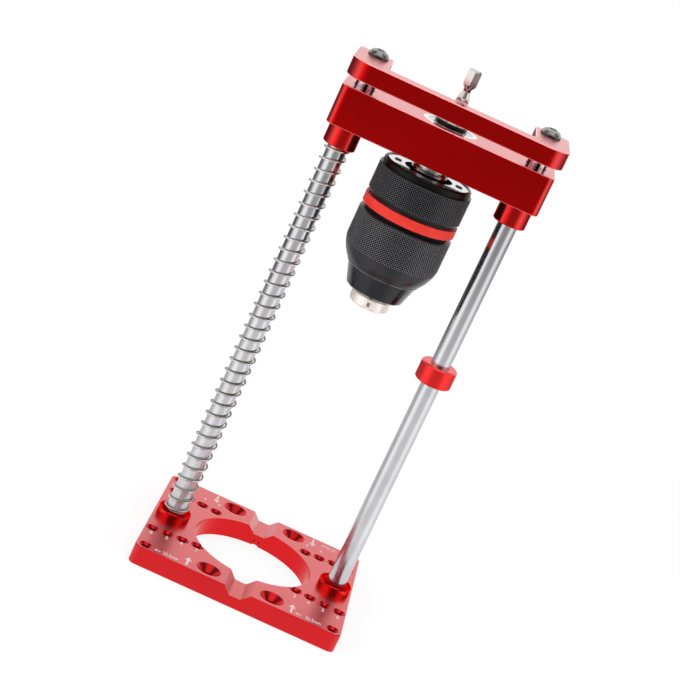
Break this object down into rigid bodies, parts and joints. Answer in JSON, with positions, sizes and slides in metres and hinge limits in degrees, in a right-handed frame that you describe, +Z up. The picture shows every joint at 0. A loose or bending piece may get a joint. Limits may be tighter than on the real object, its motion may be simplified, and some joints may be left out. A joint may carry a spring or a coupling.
{
  "type": "hinge drilling jig",
  "caption": "Column drilling jig for hinge cup holes: slotted base plate with a round opening, sprung carriage with a keyless chuck, tie bar and depth stop.",
  "frame": {"origin": "middle of the base plate's underside", "axes": "+Z up along the columns, +X from the sprung column to the one with the depth stop, -Y to the front"},
  "size_m": [0.11, 0.104, 0.2805],
  "materials": {
    "red_anodised": "satin anodised",
    "ground_steel": "ground and polished",
    "spring_steel": "bright wire",
    "dark_screw": "blackened",
    "bearing_steel": "polished",
    "bronze": "sintered",
    "nickel_plate": "nickel plated",
    "jaw_steel": "hardened",
    "black_sleeve": "black, knurled",
    "smooth_black": "satin black",
    "red_ring": "satin red"
  },
  "bodies": {
    "frame": {"base_plate": "red_anodised", "foot_collar_left": "red_anodised", "foot_collar_right": "red_anodised", "column_left": "ground_steel", "column_right": "ground_steel", "foot_screws": "dark_screw", "tie_bar": "red_anodised", "bar_screws": "dark_screw", "return_spring": "spring_steel"},
    "carriage": {"carriage_block": "red_anodised", "guide_sleeve_left": "red_anodised", "guide_sleeve_right": "red_anodised", "guide_bush_left": "bronze", "guide_bush_right": "bronze", "bearing_upper_outer": "bearing_steel", "bearing_upper_balls": "bearing_steel", "bearing_upper_shields": "bearing_steel", "bearing_lower_outer": "bearing_steel", "bearing_lower_balls": "bearing_steel", "bearing_lower_shields": "bearing_steel"},
    "spindle": {"spindle": "nickel_plate", "bearing_upper_inner": "bearing_steel", "bearing_lower_inner": "bearing_steel", "bearing_spacer": "bearing_steel", "lock_ring": "dark_screw", "chuck_body": "nickel_plate", "end_cap": "nickel_plate", "rear_sleeve": "black_sleeve", "chuck_ring": "red_ring", "thrust_washer": "bearing_steel"},
    "chuck_sleeve": {"front_sleeve": "black_sleeve", "nose_cone": "smooth_black", "chuck_nut": "jaw_steel"},
    "first_jaw": {"jaw_1": "jaw_steel"},
    "second_jaw": {"jaw_2": "jaw_steel"},
    "third_jaw": {"jaw_3": "jaw_steel"},
    "depth_stop": {"stop_collar": "red_anodised", "stop_screw": "dark_screw"}
  },
  "joints": [
    {"name": "carriage_slide", "type": "slide", "parent": "frame", "child": "carriage", "axis": [0, 0, 1], "range_m": [-0.0782, 0], "stiffness_N_per_m": 270, "springref_m": 0.0345, "deforming": ["return_spring"]},
    {"name": "depth_stop_slide", "type": "slide", "parent": "frame", "child": "depth_stop", "axis": [0, 0, 1], "range_m": [-0.1172, 0]},
    {"name": "spindle_spin", "type": "hinge", "parent": "carriage", "child": "spindle", "pos_m": [0, 0, 0.241], "axis": [0, 0, 1], "continuous": true},
    {"name": "chuck_sleeve_turn", "type": "hinge", "parent": "spindle", "child": "chuck_sleeve", "pos_m": [0, 0, 0.185], "axis": [0, 0, 1], "range_deg": [0, 3015]},
    {"name": "first_jaw_slide", "type": "slide", "parent": "spindle", "child": "first_jaw", "axis": [0, 0.2504, -0.9681], "range_m": [0, 0.02515]},
    {"name": "second_jaw_slide", "type": "slide", "parent": "spindle", "child": "second_jaw", "axis": [-0.2168, -0.1252, -0.9681], "range_m": [0, 0.02515]},
    {"name": "third_jaw_slide", "type": "slide", "parent": "spindle", "child": "third_jaw", "axis": [0.2168, -0.1252, -0.9681], "range_m": [0, 0.02515]}
  ],
  "couplings": [
    {"joint": "first_jaw_slide", "follows": "chuck_sleeve_turn", "m_per_rad": 0.00047746},
    {"joint": "second_jaw_slide", "follows": "chuck_sleeve_turn", "m_per_rad": 0.00047746},
    {"joint": "third_jaw_slide", "follows": "chuck_sleeve_turn", "m_per_rad": 0.00047746}
  ]
}
